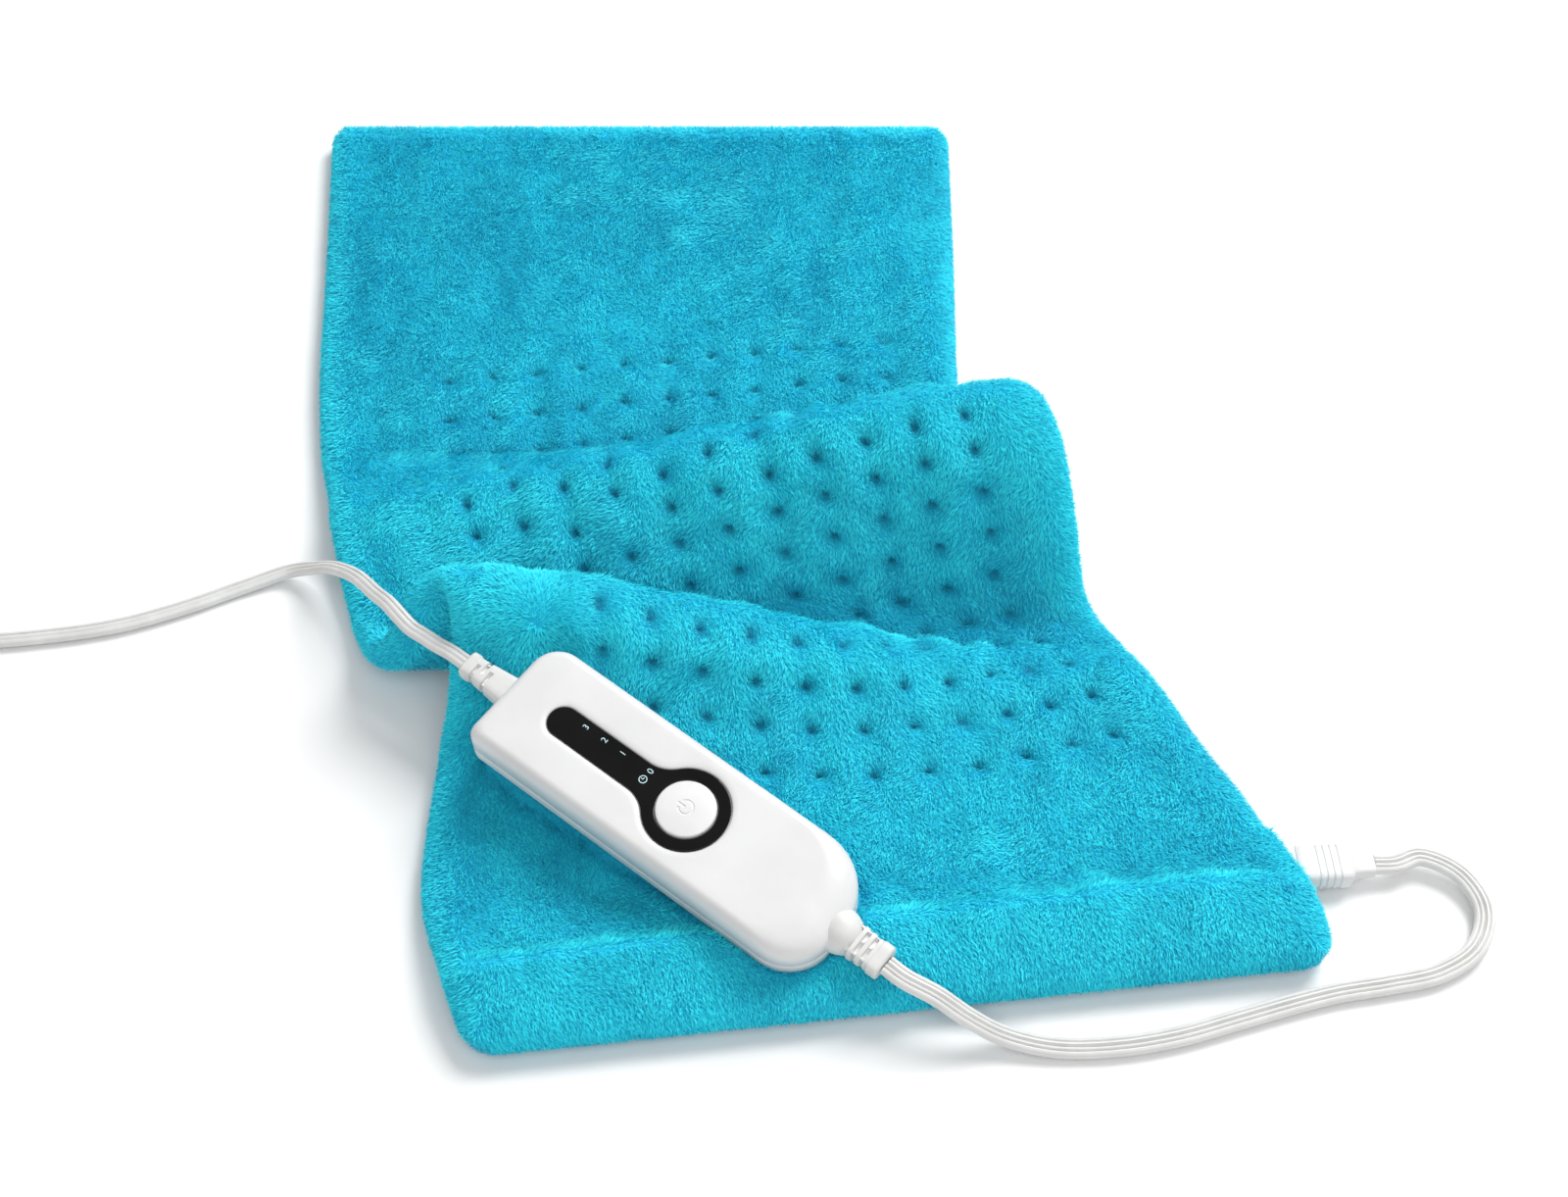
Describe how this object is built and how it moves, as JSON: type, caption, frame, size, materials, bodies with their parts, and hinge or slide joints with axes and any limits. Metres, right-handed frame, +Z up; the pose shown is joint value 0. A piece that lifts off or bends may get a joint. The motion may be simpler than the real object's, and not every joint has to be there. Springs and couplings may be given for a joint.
{
  "type": "heating pad with controller",
  "caption": "Plush electric heating pad lying in two soft folds, with a slim hand controller, a round push button, a flat mains cord with plug and a lead to the pad.",
  "frame": {"origin": "on the floor, under the middle of the box round the pad and the controller", "axes": "+X to the right along the back edge of the pad, +Y towards that back edge, +Z up"},
  "size_m": [0.7017, 0.5156, 0.0858],
  "materials": {
    "plush": "short plush pile",
    "carrier_cloth": "thin non-woven cloth",
    "wire_jacket": "silicone jacket",
    "white_plastic": "satin white plastic",
    "white_vinyl": "soft white vinyl",
    "black_gloss": "glossy black window",
    "board": "green circuit board",
    "black_resin": "black moulded resin",
    "lens": "clear lamp body",
    "film": "dipped film capacitor",
    "steel": "zinc plated",
    "brass": "plain brass",
    "tie_cloth": "woven strap"
  },
  "bodies": {
    "pad_and_controller": {"strain_relief_mains": "white_vinyl", "strain_relief_lead": "white_vinyl", "controller_lid": "white_plastic", "controller_base": "white_plastic", "display_panel": "black_gloss", "case_screw_1": "steel", "case_screw_2": "steel", "case_screw_3": "steel", "case_screw_4": "steel", "circuit_board": "board", "number_led_3": "lens", "number_led_2": "lens", "number_led_1": "lens", "timer_led": "lens", "light_guide": "black_resin", "microcontroller": "black_resin", "triac": "black_resin", "film_capacitor": "film", "electrolytic_capacitor": "steel", "board_fuse": "carrier_cloth", "push_switch": "black_resin", "mains_inner_wire_1": "white_vinyl", "mains_inner_wire_2": "white_vinyl", "lead_inner_wire_1": "white_vinyl", "lead_inner_wire_2": "white_vinyl", "lead_inner_wire_3": "white_vinyl", "lead_inner_wire_4": "white_vinyl", "heater_carrier_sheet": "carrier_cloth", "pad_connector_socket": "white_plastic", "pad_lead_connector": "white_plastic", "heating_wire": "wire_jacket", "thermostat_left": "black_resin", "thermostat_right": "black_resin", "thermal_fuse": "steel", "pad_top_cover": "plush", "pad_bottom_cover": "plush", "mains_cord_coil": "white_vinyl", "mains_cord": "white_vinyl", "pad_lead": "white_vinyl", "cord_tie": "tie_cloth", "plug_blade_left": "brass", "plug_blade_right": "brass", "mains_plug": "white_vinyl"},
    "button": {"power_button": "white_plastic", "switch_plunger": "brass"}
  },
  "joints": [
    {"name": "button_press", "type": "slide", "parent": "pad_and_controller", "child": "button", "axis": [0.024, 0.1839, -0.9827], "range_m": [0, 0.0006], "stiffness_N_per_m": 3000, "springref_m": -0.0003}
  ]
}
